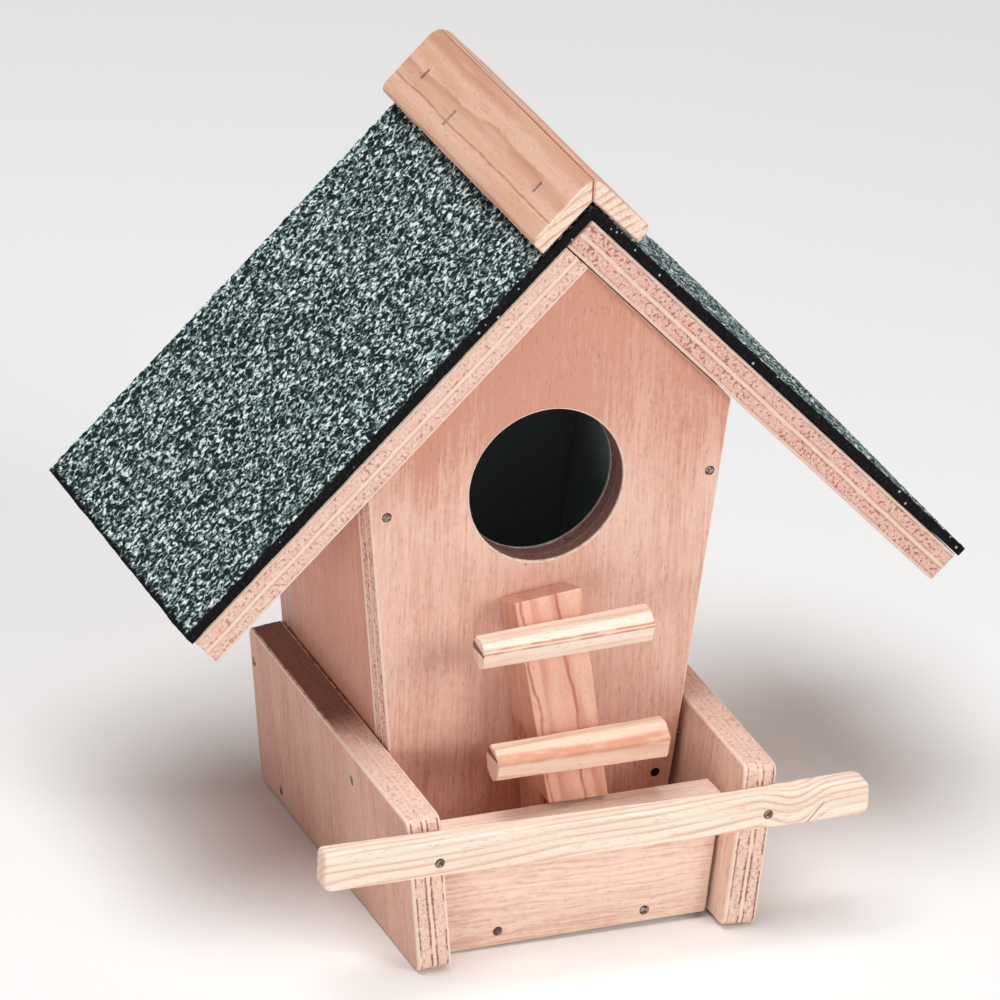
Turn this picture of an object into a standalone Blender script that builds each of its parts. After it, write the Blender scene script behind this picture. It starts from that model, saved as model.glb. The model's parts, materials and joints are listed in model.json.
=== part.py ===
"""Small plywood birdhouse: tapered body, felted pitched roof, feeding tray, perch bar and rungs.

Run with: blender --background --python part.py. Units are metres, +Z is up, the front faces -Y.
The origin is the bottom centre of the object's box, on the surface it stands on.
Across the object, x is measured from the ridge (RIDGE_X) or the body's centre line (BODY_X);
along it, depth is measured back from the face of the front panel (FRONT_Y).
"""
import math

import bmesh
import bpy
from mathutils import Matrix, Vector

MM = 0.001

# ---- driving dimensions -------------------------------------------------------------------
PLY = 9.0 * MM                    # thickness of every plywood board
GAP = 0.3 * MM                    # air between touching pieces
EDGE = 0.5 * MM                   # rounding of sawn and sanded edges
HIDDEN_EDGE = 0.3 * MM            # the same on boards that the others cover

RIDGE_X = -1.8 * MM               # the ridge, across the object
BODY_X = RIDGE_X - 7.95 * MM      # the body sits a little to the left of the ridge
FRONT_Y = -30.2 * MM              # face of the front panel

RIDGE_Z = 185.3 * MM              # outer apex of the plywood roof
ROOF_PITCH = math.radians(45.0)
ROOF_FRONT = -2.7 * MM            # depths of the roof panels' two ends
ROOF_REAR = 102.8 * MM
ROOF_LEFT = 144.2 * MM            # ridge to eave, along each slope
ROOF_RIGHT = 149.3 * MM

FELT_THICK = 2.8 * MM
FELT_OVERHANG = 0.9 * MM          # past the plywood at the eaves
FELT_END_OVERHANG = 0.5 * MM      # past the plywood at the gables

CAP_THICK = 5.4 * MM
CAP_REACH = 14.5 * MM             # from the ridge line down each slope
CAP_FRONT = -2.9 * MM
CAP_REAR = 104.1 * MM
CAP_CROWN = 4.5 * MM              # rounding over the ridge, through both strips
CROWN_STEPS = 4
CAP_EDGE = 0.7 * MM
CAP_LOWER_ROUND = 2.3 * MM        # rounding of each strip's lower outer edge

BODY_HALF_WIDTH = 35.0 * MM       # at the bottom of the object
BODY_TAPER = math.radians(6.32)   # lean of the body's sides, wider at the top
BODY_DEPTH = 79.0 * MM            # face of the front panel to the back of the back panel
HOLE_HEIGHT = 113.0 * MM
HOLE_RADIUS = 20.7 * MM

TRAY_FRONT = -37.4 * MM           # depth of the tray sides' front edges
TRAY_CORNERS = (2.8 * MM, 2.6 * MM, 2.6 * MM, 2.6 * MM)   # front bottom, then round by the rear
TRAY_EDGE = 0.8 * MM
TRAY_LEFT_HEIGHTS = (45.6 * MM, 43.6 * MM)     # along the board: at the rear, at the front
TRAY_RIGHT_HEIGHTS = (47.6 * MM, 45.4 * MM)
TRAY_RIGHT_LEAN = math.radians(5.0)
TRAY_RIGHT_FOOT = 38.2 * MM       # inner face of the right side, from the body's centre line

LIP_DEPTH = -28.8 * MM            # depth of the lip's face
LIP_HEIGHT = 33.5 * MM
LIP_TILT = math.radians(1.0)      # the lip was nailed on slightly out of level
LIP_FOOT = 0.2 * MM
LIP_END_GAP = 1.1 * MM            # open joint at its right end

PERCH_THICK = 6.0 * MM
PERCH_EDGE = 1.0 * MM
# Outline of the bar: distance from the ridge line, height, corner radius.
PERCH_OUTLINE = (
    (-81.2 * MM, 30.2 * MM, 2.6 * MM),
    (66.3 * MM, 30.8 * MM, 3.0 * MM),
    (66.3 * MM, 41.4 * MM, 3.6 * MM),
    (30.0 * MM, 40.3 * MM, 0.0),               # the top edge rises from here to the right end
    (-81.2 * MM, 41.1 * MM, 1.5 * MM),
)

POST_TOP_WIDTH = 18.4 * MM
POST_BOTTOM_WIDTH = 15.6 * MM
POST_TOP_X = -3.2 * MM            # centre of the post's top, from the body's centre line
POST_LEAN = math.radians(6.8)     # the post leans sideways, its foot to the right
POST_TOP = (-11.9 * MM, 88.3 * MM)             # front top edge: depth, height
POST_BACK_TOP = 84.8 * MM         # the top end slopes down towards the front panel
POST_NOSE = (-22.7 * MM, 35.2 * MM)            # foot of the sloping face, just above the lip
POST_FOOT_DEPTH = -16.0 * MM      # below the nose the post is notched back, clear of the lip
POST_EDGE = 0.6 * MM

# Rungs: centre from the body's centre line, centre height, length, roll in the front view,
# thickness at the left and at the right end.
RUNG_UPPER = (-1.1 * MM, 78.2 * MM, 46.0 * MM, math.radians(2.6), 10.1 * MM, 9.2 * MM)
RUNG_LOWER = (1.6 * MM, 49.3 * MM, 46.3 * MM, math.radians(1.2), 11.0 * MM, 9.8 * MM)
# Section of a rung in units of its thickness: down the post's face, out from it.
RUNG_SECTION = (
    (-0.50, 0.30), (-0.24, 0.0), (0.24, 0.0), (0.50, 0.30),
    (0.42, 0.64), (-0.10, 0.93), (-0.44, 0.64),
)
RUNG_CORNER = 0.08
RUNG_END_EDGE = 0.5 * MM

NAIL_HEAD_RADIUS = 1.05 * MM
NAIL_HEAD_THICK = 0.6 * MM
NAIL_SHANK_RADIUS = 0.6 * MM
NAIL_LENGTH = 20.0 * MM
NAIL_SINK = 0.1 * MM              # heads are driven just below the surface
NAIL_SIDES = 12
NAIL_TIP_RADIUS = 0.1 * MM
CUTTER_RISE = 1.5 * MM            # how far a fastener's cutter stands out of the surface

STAPLE_WIRE = (0.7 * MM, 0.6 * MM)             # width and thickness of the flattened wire
STAPLE_LEG = 12.0 * MM
STAPLE_SINK = 0.8 * MM
STAPLE_STAGGER = 5.5 * MM         # the right row is set back, so that opposite legs pass

# ---- where the fasteners go ---------------------------------------------------------------
# Panel to wall: side, height, distance in from the body's outer face.
WALL_NAILS = (
    ("left", 109.7 * MM, 4.4 * MM),
    ("left", 27.9 * MM, 4.5 * MM),
    ("right", 111.4 * MM, 2.9 * MM),
    ("right", 27.9 * MM, 4.5 * MM),
)
# Tray side to the rest: depth, height up the board, the piece nailed to.
TRAY_NAILS = (
    (76.4 * MM, 35.9 * MM, "back_panel"),
    (62.9 * MM, 4.3 * MM, "floor_board"),
    (4.0 * MM, 35.7 * MM, "front_panel"),
)
LIP_NAILS = (-28.0 * MM, 12.0 * MM)            # from the ridge line
LIP_NAIL_HEIGHT = 4.5 * MM
# Perch to tray side: side, distance from the ridge line, height.
PERCH_NAILS = (("left", -50.4 * MM, 34.3 * MM), ("right", 38.3 * MM, 34.9 * MM))
ROOF_NAIL_ALONG = 42.0 * MM       # down the slope, in line with each gable
RIDGE_NAIL_DEPTHS = (24.0 * MM, 80.0 * MM)
# Staples through the ridge caps: depth, distance down the slope, crown.
STAPLES = (
    (12.8 * MM, 3.6 * MM, 2.6 * MM),
    (67.4 * MM, 7.0 * MM, 4.4 * MM),
    (91.2 * MM, 3.4 * MM, 2.6 * MM),
)

# ---- derived dimensions -------------------------------------------------------------------
INNER_RIDGE_Z = RIDGE_Z - PLY / math.cos(ROOF_PITCH)
FELT_INNER = GAP
FELT_OUTER = FELT_INNER + FELT_THICK
CAP_INNER = FELT_OUTER + GAP
CAP_OUTER = CAP_INNER + CAP_THICK
FLOOR_TOP = PLY
WALL_FRONT = PLY + GAP
WALL_REAR = BODY_DEPTH - PLY - GAP
SIDE_SLOPE = math.tan(BODY_TAPER)
BOARD_ACROSS = PLY / math.cos(BODY_TAPER)      # a leaning board's width, measured level
SIDES = (("left", -1), ("right", 1))

# ---- materials: colour, roughness, metallic -----------------------------------------------
FINISHES = {
    "plywood": ((0.76, 0.47, 0.36), 0.62, 0.0),
    "pine": ((0.86, 0.64, 0.44), 0.55, 0.0),
    "ridge_pine": ((0.72, 0.44, 0.29), 0.55, 0.0),
    "felt": ((0.09, 0.14, 0.13), 0.95, 0.0),
    "steel": ((0.20, 0.17, 0.15), 0.45, 0.9),
}


# ---- building blocks ----------------------------------------------------------------------
def clear_scene():
    """Remove whatever the scene holds."""
    for obj in list(bpy.data.objects):
        bpy.data.objects.remove(obj, do_unlink=True)


def make_material(name, finish):
    """Give a sub-part its own Principled material in one of the finishes."""
    colour, roughness, metallic = FINISHES[finish]
    material = bpy.data.materials.new(name)
    material.use_nodes = True
    shader = material.node_tree.nodes["Principled BSDF"]
    shader.inputs["Base Color"].default_value = (*colour, 1.0)
    shader.inputs["Roughness"].default_value = roughness
    shader.inputs["Metallic"].default_value = metallic
    return material


def frame(origin, u, v):
    """Return the matrix of a right-handed frame from its origin and two unit axes."""
    u, v = Vector(u).normalized(), Vector(v).normalized()
    w = u.cross(v)
    return Matrix((
        (u.x, v.x, w.x, origin[0]),
        (u.y, v.y, w.y, origin[1]),
        (u.z, v.z, w.z, origin[2]),
        (0.0, 0.0, 0.0, 1.0),
    ))


def front_frame(x, depth, z):
    """Return a frame seen from the front: u to the right, v up, w towards the viewer."""
    return frame((x, FRONT_Y + depth, z), (1, 0, 0), (0, 0, 1))


def place(name, mesh, matrix, finish, smooth=False):
    """Wrap a mesh in a named object at the given frame, with its own material."""
    obj = bpy.data.objects.new(name, mesh)
    bpy.context.collection.objects.link(obj)
    obj.location = matrix.to_translation()
    obj.rotation_euler = matrix.to_euler()
    mesh.materials.append(make_material(name, finish))
    if smooth:
        mesh.shade_smooth()
        mesh.set_sharp_from_angle(angle=math.radians(35.0))
    return obj


def round_corners(points, radii, steps=4):
    """Replace each corner of a closed outline by an arc of its radius; 0 keeps it sharp."""
    outline = []
    count = len(points)
    for index, radius in enumerate(radii):
        corner = Vector(points[index])
        if radius == 0:
            outline.append(corner)
            continue
        before = (Vector(points[index - 1]) - corner).normalized()
        after = (Vector(points[(index + 1) % count]) - corner).normalized()
        half = before.angle(after) / 2.0
        centre = corner + (before + after).normalized() * radius / math.sin(half)
        first = (corner + before * radius / math.tan(half) - centre).normalized()
        last = (corner + after * radius / math.tan(half) - centre).normalized()
        for step in range(steps + 1):
            outline.append(centre + first.slerp(last, step / steps) * radius)
    return outline


def extrude(outline, thickness, edge=0.0, segments=1, ends_only=False):
    """Return a mesh: the outline in the u-v plane, extruded along +w, with rounded edges."""
    bm = bmesh.new()
    face = bm.faces.new([bm.verts.new((point[0], point[1], 0.0)) for point in outline])
    grown = bmesh.ops.extrude_face_region(bm, geom=[face])
    moved = [item for item in grown["geom"] if isinstance(item, bmesh.types.BMVert)]
    bmesh.ops.translate(bm, verts=moved, vec=(0.0, 0.0, thickness))
    bmesh.ops.recalc_face_normals(bm, faces=bm.faces)
    if edge:
        sharp = [item for item in bm.edges if item.calc_face_angle() > math.radians(30.0)]
        if ends_only:
            sharp = [item for item in sharp if item.verts[0].co.z == item.verts[1].co.z]
        bmesh.ops.bevel(bm, geom=sharp, offset=edge, segments=segments, profile=0.5, affect="EDGES")
    mesh = bpy.data.meshes.new("board")
    bm.to_mesh(mesh)
    bm.free()
    return mesh


def subtract(target, cutter):
    """Cut one object out of another, and keep the cutter as a wire guide."""
    cutter.hide_render = True
    cutter.display_type = "WIRE"
    modifier = target.modifiers.new(cutter.name, "BOOLEAN")
    modifier.operation = "DIFFERENCE"
    modifier.solver = "EXACT"
    modifier.object = cutter


# ---- roof ---------------------------------------------------------------------------------
def slope_point(side, along, out):
    """Return (x, z) on a slope: along from the ridge, out from the plywood's face; side -1 left."""
    cosine, sine = math.cos(ROOF_PITCH), math.sin(ROOF_PITCH)
    x = RIDGE_X + side * (along * cosine + out * sine)
    z = RIDGE_Z - along * sine + out * cosine
    return x, z


def slope_frame(side, along, depth, out):
    """Return a frame on a slope: w points out of the roof, u runs down the slope."""
    x, z = slope_point(side, along, out)
    down = (side * math.cos(ROOF_PITCH), 0.0, -math.sin(ROOF_PITCH))
    return frame((x, FRONT_Y + depth, z), down, (0.0, side, 0.0))


def roof_panels():
    """Two plywood panels; the right one runs through at the ridge, the left butts against it."""
    spans = (("roof_panel_left", -1, PLY + GAP, ROOF_LEFT), ("roof_panel_right", 1, 0.0, ROOF_RIGHT))
    for name, side, start, end in spans:
        depths = (ROOF_FRONT, ROOF_REAR) if side > 0 else (-ROOF_REAR, -ROOF_FRONT)
        outline = [(start, depths[0]), (end, depths[0]), (end, depths[1]), (start, depths[1])]
        place(name, extrude(outline, PLY, EDGE), slope_frame(side, 0.0, 0.0, -PLY), "plywood")


def along_y(name, section, depth_from, depth_to, finish, edge=0.0, segments=1, ends_only=False):
    """Extrude an (x, z) section from one depth to another."""
    mesh = extrude(section, depth_to - depth_from, edge, segments, ends_only)
    return place(name, mesh, front_frame(0.0, depth_to, 0.0), finish)


def roof_felt():
    """One sheet of roofing felt, folded over the ridge and covering both slopes."""
    left, right = ROOF_LEFT + FELT_OVERHANG, ROOF_RIGHT + FELT_OVERHANG
    section = [
        slope_point(-1, left, FELT_INNER),
        slope_point(-1, left, FELT_OUTER),
        slope_point(-1, -FELT_OUTER, FELT_OUTER),
        slope_point(1, right, FELT_OUTER),
        slope_point(1, right, FELT_INNER),
        slope_point(1, -FELT_INNER, FELT_INNER),
    ]
    outline = round_corners(section, (0, 0, FELT_OUTER, 0, 0, 0))
    along_y("roof_felt", outline, ROOF_FRONT - FELT_END_OVERHANG, ROOF_REAR + FELT_END_OVERHANG, "felt")


def ridge_caps():
    """Two pine strips, mitred together along the ridge."""
    crown_z = slope_point(1, -CAP_OUTER, CAP_OUTER)[1] - CAP_CROWN * math.sqrt(2.0)
    for label, side in SIDES:
        lower = [
            Vector(slope_point(side, CAP_REACH, CAP_OUTER)),
            Vector(slope_point(side, CAP_REACH, CAP_INNER)),
            Vector(slope_point(side, -CAP_INNER, CAP_INNER)) + Vector((side * GAP / 2.0, 0.0)),
        ]
        section = [Vector((RIDGE_X + side * GAP / 2.0, crown_z + CAP_CROWN))]
        for step in range(1, CROWN_STEPS + 1):
            turn = ROOF_PITCH * step / CROWN_STEPS
            x = RIDGE_X + side * CAP_CROWN * math.sin(turn)
            section.append(Vector((x, crown_z + CAP_CROWN * math.cos(turn))))
        radii = [0.0] * len(section) + [CAP_LOWER_ROUND, 0.0, 0.0]
        outline = round_corners(section + lower, radii)
        name = "ridge_cap_" + label
        along_y(name, outline, CAP_FRONT, CAP_REAR, "ridge_pine", CAP_EDGE, 2, ends_only=True)


# ---- body ---------------------------------------------------------------------------------
def body_edge(side, z):
    """Return the x of the body's outer face at a height; side -1 is the left."""
    return BODY_X + side * (BODY_HALF_WIDTH + z * SIDE_SLOPE)


def under_roof(x):
    """Return the height of the roof's underside at x, less the gap."""
    return INNER_RIDGE_Z - abs(x - RIDGE_X) * math.tan(ROOF_PITCH) - GAP / math.cos(ROOF_PITCH)


def shoulder(side, inset):
    """Return the (x, z) where the body's side, moved in by inset, meets the roof's underside."""
    rise = (INNER_RIDGE_Z - GAP / math.cos(ROOF_PITCH)
            - (BODY_HALF_WIDTH - inset + side * (BODY_X - RIDGE_X)) * math.tan(ROOF_PITCH))
    z = rise / (1.0 + SIDE_SLOPE * math.tan(ROOF_PITCH))
    return body_edge(side, z) - side * inset, z


def gable_outline():
    """Return the five-sided outline of the front and back panels."""
    foot = FLOOR_TOP + GAP
    return [
        (body_edge(-1, foot), foot),
        (body_edge(1, foot), foot),
        shoulder(1, 0.0),
        (RIDGE_X, under_roof(RIDGE_X)),
        shoulder(-1, 0.0),
    ]


def entrance_cutter():
    """Return a cylinder that cuts the entrance hole."""
    circle = [(HOLE_RADIUS * math.cos(turn), HOLE_RADIUS * math.sin(turn))
              for turn in (math.tau * step / 64 for step in range(64))]
    mesh = extrude(circle, PLY * 3.0)
    return place("entrance_cutter", mesh, front_frame(BODY_X, PLY * 2.0, HOLE_HEIGHT), "steel")


def body_panels():
    """Front panel with its round entrance, and the plain back panel."""
    front = along_y("front_panel", gable_outline(), 0.0, PLY, "plywood", edge=EDGE)
    subtract(front, entrance_cutter())
    along_y("back_panel", gable_outline(), BODY_DEPTH - PLY, BODY_DEPTH, "plywood", edge=EDGE)


def side_walls():
    """Leaning side walls between the front and back panels, cut to the slope at the top."""
    foot = FLOOR_TOP + GAP
    for label, side in SIDES:
        section = [
            (body_edge(side, foot), foot),
            (body_edge(side, foot) - side * BOARD_ACROSS, foot),
            shoulder(side, BOARD_ACROSS),
            shoulder(side, 0.0),
        ]
        along_y("side_wall_" + label, section, WALL_FRONT, WALL_REAR, "plywood", edge=HIDDEN_EDGE)


# ---- tray ---------------------------------------------------------------------------------
def tray_side_frame(side):
    """Return a tray side's frame: u runs back, v up the board, w to the right through it."""
    if side < 0:
        lean, x = BODY_TAPER, body_edge(-1, 0.0) - GAP - BOARD_ACROSS
    else:
        lean, x = TRAY_RIGHT_LEAN, BODY_X + TRAY_RIGHT_FOOT
    foot = side * PLY * math.sin(lean) if side > 0 else 0.0
    return frame((x, FRONT_Y, foot), (0, 1, 0), (side * math.sin(lean), 0, math.cos(lean)))


def tray_inner_x(side, z):
    """Return the x of a tray side's inner face at a height."""
    matrix = tray_side_frame(side)
    origin = matrix @ Vector((0.0, 0.0, PLY if side < 0 else 0.0))
    rise = matrix.to_3x3() @ Vector((0.0, 1.0, 0.0))
    return origin.x + (z - origin.z) * rise.x / rise.z


def tray_sides():
    """Two upright plywood boards outside the body, running forward past the front panel."""
    heights = (("tray_side_left", -1, TRAY_LEFT_HEIGHTS), ("tray_side_right", 1, TRAY_RIGHT_HEIGHTS))
    for name, side, (rear, front) in heights:
        outline = [(TRAY_FRONT, 0.0), (BODY_DEPTH, 0.0), (BODY_DEPTH, rear), (TRAY_FRONT, front)]
        outline = round_corners(outline, TRAY_CORNERS)
        place(name, extrude(outline, PLY, TRAY_EDGE, 2), tray_side_frame(side), "plywood")


def floor_board():
    """One board between the tray sides: the body's floor and the feeding tray's."""
    section = [(tray_inner_x(side, z) - side * GAP, z)
               for side, z in ((-1, 0.0), (1, 0.0), (1, FLOOR_TOP), (-1, FLOOR_TOP))]
    along_y("floor_board", section, LIP_DEPTH + PLY + GAP, BODY_DEPTH, "plywood", edge=HIDDEN_EDGE)


def lip_height(x, rise):
    """Return the height of a line along the lip, rise above its foot."""
    return LIP_FOOT + rise + (x - tray_inner_x(-1, 0.0)) * math.tan(LIP_TILT)


def tray_lip():
    """The low board across the front of the tray, nailed to the floor's front edge."""
    corners = []
    for side, rise in ((-1, 0.0), (1, 0.0), (1, LIP_HEIGHT), (-1, LIP_HEIGHT)):
        clearance = LIP_END_GAP if side > 0 else GAP
        x = tray_inner_x(side, rise) - side * clearance
        corners.append((x, lip_height(x, rise)))
    along_y("tray_lip", corners, LIP_DEPTH, LIP_DEPTH + PLY, "plywood", edge=EDGE)


# ---- perch, post and rungs ----------------------------------------------------------------
def perch_bar():
    """The long pine slat across the tray's front, rounder and a little wider at its right end."""
    corners = [(RIDGE_X + across, height) for across, height, _ in PERCH_OUTLINE]
    outline = round_corners(corners, [radius for _, _, radius in PERCH_OUTLINE], steps=5)
    depth = TRAY_FRONT - GAP
    along_y("perch_bar", outline, depth - PERCH_THICK, depth, "pine", edge=PERCH_EDGE, segments=3)


def ladder_post():
    """The pine post between the front panel and the lip; it carries the rungs."""
    foot, top = FLOOR_TOP + GAP, POST_TOP[1]
    profile = [
        (-GAP, foot),
        (POST_FOOT_DEPTH, foot),
        (POST_FOOT_DEPTH, POST_NOSE[1]),
        POST_NOSE,
        POST_TOP,
        (-GAP, POST_BACK_TOP),
    ]
    mesh = extrude(profile, POST_TOP_WIDTH, POST_EDGE, 2)
    for vertex in mesh.vertices:
        share = (vertex.co.y - foot) / (top - foot)
        width = POST_BOTTOM_WIDTH + (POST_TOP_WIDTH - POST_BOTTOM_WIDTH) * share
        across = (vertex.co.z / POST_TOP_WIDTH - 0.5) * width
        vertex.co.z = across + (top - vertex.co.y) * math.tan(POST_LEAN)
        if share > 0.5:
            vertex.co.y += across * math.tan(POST_LEAN)    # the top is cut square to the lean
    axes = frame((BODY_X + POST_TOP_X, FRONT_Y, 0.0), (0, 1, 0), (0, 0, 1))
    place("ladder_post", mesh, axes, "pine")


def rung_frame(x, height, roll):
    """Return a rung's frame on the post's sloping face: u down the face, w along the rung."""
    slope = Vector(POST_NOSE) - Vector(POST_TOP)
    depth = POST_TOP[0] + slope.x * (height - POST_TOP[1]) / slope.y
    down = Vector((0.0, slope.x, slope.y)).normalized()
    outward = down.cross(Vector((1.0, 0.0, 0.0)))
    origin = Vector((BODY_X + x, FRONT_Y + depth, height)) + outward * GAP
    turn = Matrix.Rotation(roll, 4, outward)
    return Matrix.Translation(origin) @ turn @ frame((0.0, 0.0, 0.0), down, outward)


def rung(name, shape):
    """One stick across the post: flat at the back, two long facets and a blunt ridge in front."""
    x, height, length, roll, left_thick, right_thick = shape
    outline = round_corners(RUNG_SECTION, [RUNG_CORNER] * len(RUNG_SECTION), steps=3)
    mesh = extrude(outline, length)
    bm = bmesh.new()
    bm.from_mesh(mesh)
    for vertex in bm.verts:
        thick = left_thick + (right_thick - left_thick) * vertex.co.z / length
        vertex.co.x *= thick
        vertex.co.y *= thick
        vertex.co.z -= length / 2.0
    rims = [edge for edge in bm.edges if edge.calc_face_angle() > math.radians(60.0)]
    bmesh.ops.bevel(bm, geom=rims, offset=RUNG_END_EDGE, segments=2, profile=0.5, affect="EDGES")
    bm.to_mesh(mesh)
    bm.free()
    place(name, mesh, rung_frame(x, height, roll), "pine")


# ---- fasteners ----------------------------------------------------------------------------
def nail_mesh(grow=0.0):
    """Return a wire nail along -w with its head's top at w = 0, or its hole when grown."""
    rise = CUTTER_RISE if grow else 0.0
    head, shank = NAIL_HEAD_RADIUS + grow, NAIL_SHANK_RADIUS + grow
    under, tip = -NAIL_HEAD_THICK - grow, -NAIL_LENGTH - grow
    taper = tip + shank * 2.0
    profile = ((head, rise), (head, under), (shank, under), (shank, taper), (NAIL_TIP_RADIUS, tip))
    bm = bmesh.new()
    rings = []
    for radius, w in profile:
        turns = (math.tau * step / NAIL_SIDES for step in range(NAIL_SIDES))
        rings.append([bm.verts.new((radius * math.cos(t), radius * math.sin(t), w)) for t in turns])
    for upper, lower in zip(rings, rings[1:]):
        for step in range(NAIL_SIDES):
            after = (step + 1) % NAIL_SIDES
            bm.faces.new((upper[step], lower[step], lower[after], upper[after]))
    bm.faces.new(rings[0])
    bm.faces.new(rings[-1])
    bmesh.ops.recalc_face_normals(bm, faces=bm.faces)
    mesh = bpy.data.meshes.new("nail")
    bm.to_mesh(mesh)
    bm.free()
    return mesh


def staple_mesh(crown, grow=0.0):
    """Return a staple with its crown along u and its legs along -w, or its slot when grown."""
    width, thick = STAPLE_WIRE
    rise = CUTTER_RISE if grow else 0.0
    half, inner = crown / 2.0 + grow, crown / 2.0 - thick - grow
    tip, under = -STAPLE_LEG - grow, -thick - grow
    outline = [
        (-half, rise), (-half, tip), (-inner, tip), (-inner, under),
        (inner, under), (inner, tip), (half, tip), (half, rise),
    ]
    mesh = extrude(outline, width + 2.0 * grow)
    mesh.transform(Matrix.Translation((0.0, 0.0, -width / 2.0 - grow)))
    mesh.transform(Matrix.Rotation(math.pi / 2.0, 4, "X"))
    return mesh


def wall_nails():
    """Yield the nails that hold the front and back panels to the walls' edges."""
    for number, (label, height, inset) in enumerate(WALL_NAILS, 1):
        side = dict(SIDES)[label]
        x, wall = body_edge(side, height) - side * inset, "side_wall_" + label
        yield f"front_nail_{number}", front_frame(x, 0.0, height), ("front_panel", wall)
        rear = frame((x, FRONT_Y + BODY_DEPTH, height), (-1, 0, 0), (0, 0, 1))
        yield f"back_nail_{number}", rear, ("back_panel", wall)


def tray_nails():
    """Yield the nails of the tray: its sides, its lip and the perch bar."""
    for label, side in SIDES:
        board = tray_side_frame(side)
        up = board.to_3x3() @ Vector((0, 1, 0))
        for number, (depth, height, into) in enumerate(TRAY_NAILS, 1):
            outer = board @ Vector((depth, height, 0.0 if side < 0 else PLY))
            matrix = frame(outer, (0, side, 0), up)
            yield f"tray_nail_{label}_{number}", matrix, ("tray_side_" + label, into)
    for number, across in enumerate(LIP_NAILS, 1):
        matrix = front_frame(RIDGE_X + across, LIP_DEPTH, LIP_NAIL_HEIGHT)
        yield f"lip_nail_{number}", matrix, ("tray_lip", "floor_board")
    for number, (label, across, height) in enumerate(PERCH_NAILS, 1):
        matrix = front_frame(RIDGE_X + across, TRAY_FRONT - GAP - PERCH_THICK, height)
        yield f"perch_nail_{number}", matrix, ("perch_bar", "tray_side_" + label)


def roof_nails():
    """Yield the nails under the felt: roof panels onto the gables, and onto each other."""
    gables = ((PLY / 2.0, "front_panel"), (BODY_DEPTH - PLY / 2.0, "back_panel"))
    for label, side in SIDES:
        for number, (depth, gable) in enumerate(gables, 1):
            matrix = slope_frame(side, ROOF_NAIL_ALONG, depth, 0.0)
            yield f"roof_nail_{label}_{number}", matrix, ("roof_panel_" + label, gable)
    for number, depth in enumerate(RIDGE_NAIL_DEPTHS, 1):
        matrix = slope_frame(1, PLY / 2.0, depth, 0.0)
        yield f"ridge_nail_{number}", matrix, ("roof_panel_right", "roof_panel_left")


def cap_staples():
    """Yield the staples through the ridge caps, with their crowns: each crown lies down the slope."""
    for label, side in SIDES:
        targets = ("ridge_cap_" + label, "roof_felt", "roof_panel_left", "roof_panel_right")
        for number, (depth, along, crown) in enumerate(STAPLES, 1):
            depth += STAPLE_STAGGER if side > 0 else 0.0
            matrix = slope_frame(side, along, depth, CAP_OUTER - STAPLE_SINK)
            yield f"cap_staple_{label}_{number}", matrix, targets, crown


def fastener_list():
    """Return every fastener: name, frame, the nodes it pierces, staple crown (0 for a nail)."""
    sink = Matrix.Translation((0.0, 0.0, -NAIL_SINK))
    nails = [*wall_nails(), *tray_nails(), *roof_nails()]
    return [(name, matrix @ sink, targets, 0.0) for name, matrix, targets in nails] + list(cap_staples())


def add_fasteners():
    """Make each fastener, and cut one set of holes for it in every piece that it pierces."""
    holes = {}
    for name, matrix, targets, crown in fastener_list():
        mesh = staple_mesh(crown) if crown else nail_mesh()
        place(name, mesh, matrix, "steel", smooth=not crown)
        for target in targets:
            holes.setdefault(target, []).append((crown, matrix))
    for target, cuts in holes.items():
        bm = bmesh.new()
        for crown, matrix in cuts:
            mesh = staple_mesh(crown, GAP) if crown else nail_mesh(GAP)
            mesh.transform(matrix)
            bm.from_mesh(mesh)
        joined = bpy.data.meshes.new("holes_" + target)
        bm.to_mesh(joined)
        bm.free()
        cutter = place("holes_" + target, joined, Matrix.Identity(4), "steel")
        subtract(bpy.data.objects[target], cutter)


def build():
    """Build the whole birdhouse."""
    clear_scene()
    floor_board()
    body_panels()
    side_walls()
    roof_panels()
    roof_felt()
    ridge_caps()
    tray_sides()
    tray_lip()
    perch_bar()
    ladder_post()
    rung("rung_upper", RUNG_UPPER)
    rung("rung_lower", RUNG_LOWER)
    add_fasteners()


build()
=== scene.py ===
"""Looks of the small plywood birdhouse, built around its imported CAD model.

Lengths in the materials are in millimetres. A wooden piece's material has a frame of its own: x runs
along the grain, y across it and z through the thickness, from the piece's lowest corner. The felt's
and the metal's materials use the object's frame.
"""

import json
import math

import bmesh
import bpy
import numpy as np
from mathutils import Matrix, Vector, noise


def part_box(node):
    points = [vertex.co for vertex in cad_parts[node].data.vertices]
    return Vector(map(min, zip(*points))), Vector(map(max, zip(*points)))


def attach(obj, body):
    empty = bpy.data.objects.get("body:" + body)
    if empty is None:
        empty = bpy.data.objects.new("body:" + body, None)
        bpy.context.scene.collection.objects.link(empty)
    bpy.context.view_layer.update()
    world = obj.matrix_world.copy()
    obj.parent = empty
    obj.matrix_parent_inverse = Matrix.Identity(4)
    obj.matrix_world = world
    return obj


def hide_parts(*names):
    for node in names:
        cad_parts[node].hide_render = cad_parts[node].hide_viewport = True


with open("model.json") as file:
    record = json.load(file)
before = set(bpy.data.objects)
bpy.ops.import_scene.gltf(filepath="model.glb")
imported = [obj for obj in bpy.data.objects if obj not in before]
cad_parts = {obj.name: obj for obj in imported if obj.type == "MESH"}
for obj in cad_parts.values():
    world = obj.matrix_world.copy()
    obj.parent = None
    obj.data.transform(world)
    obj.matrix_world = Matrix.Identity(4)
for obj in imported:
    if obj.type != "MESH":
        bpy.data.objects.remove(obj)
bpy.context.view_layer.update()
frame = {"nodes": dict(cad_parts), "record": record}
NODES = frame["nodes"]

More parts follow.
